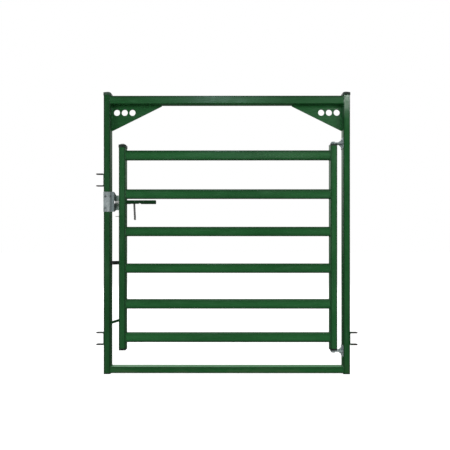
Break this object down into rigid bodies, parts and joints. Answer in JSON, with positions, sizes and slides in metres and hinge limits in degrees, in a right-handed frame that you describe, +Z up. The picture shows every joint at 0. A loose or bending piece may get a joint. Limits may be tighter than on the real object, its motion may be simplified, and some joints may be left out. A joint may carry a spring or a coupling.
{
  "type": "bow gate",
  "caption": "Walk-through livestock corral gate in its own welded frame: a railed leaf on pin hinges with a sliding bolt, and side clevises that pin it to panels.",
  "frame": {"origin": "centre of the sill's underside, in the middle of the gate's width and depth", "axes": "+Z up; +X along the gate's width from the bolt side to the hinge side; +Y through the gate, away from the side that the leaf opens to"},
  "size_m": [2.1256, 0.0745, 2.285],
  "materials": {
    "green_paint": "glossy dark green powder coat",
    "barrel_paint": "dark green powder coat, worn in the slot",
    "black_plastic": "moulded black polyethylene",
    "black_paint": "satin black",
    "clevis_steel": "dark oxide with some green overspray",
    "galvanised": "dull zinc with vertical streaks",
    "bare_steel": "zinc-plated rod, dulled"
  },
  "bodies": {
    "frame": {"left_post": "green_paint", "right_post": "green_paint", "header_bar": "green_paint", "sill_bar": "green_paint", "left_post_cap": "black_plastic", "right_post_cap": "black_plastic", "left_foot_plug": "black_plastic", "right_foot_plug": "black_plastic", "left_gusset": "green_paint", "right_gusset": "green_paint", "left_upper_clevis": "clevis_steel", "left_lower_clevis": "clevis_steel", "right_lower_clevis": "clevis_steel", "latch_keeper": "galvanised", "middle_stop": "black_paint", "low_stop": "green_paint", "top_hinge_bracket": "galvanised", "bottom_hinge_bracket": "galvanised", "top_hinge_pin": "galvanised", "bottom_hinge_pin": "galvanised"},
    "leaf": {"latch_stile": "green_paint", "hinge_stile": "green_paint", "rail_1": "green_paint", "rail_2": "green_paint", "rail_3": "green_paint", "rail_4": "green_paint", "rail_5": "green_paint", "rail_6": "green_paint", "latch_stile_cap": "black_plastic", "latch_stile_bottom_plug": "black_plastic", "top_hinge_bush": "black_plastic", "bottom_hinge_bush": "black_plastic", "bolt_barrel": "barrel_paint", "catch_pin": "bare_steel"},
    "bolt": {"sliding_bolt": "bare_steel", "bolt_handle": "bare_steel"}
  },
  "joints": [
    {"name": "gate_swing", "type": "hinge", "parent": "frame", "child": "leaf", "pos_m": [0.864, 0, 0.184], "axis": [0, 0, 1], "range_deg": [0, 135]},
    {"name": "bolt_slide", "type": "slide", "parent": "leaf", "child": "bolt", "axis": [-1, 0, 0], "range_m": [-0.045, 0.025]}
  ]
}
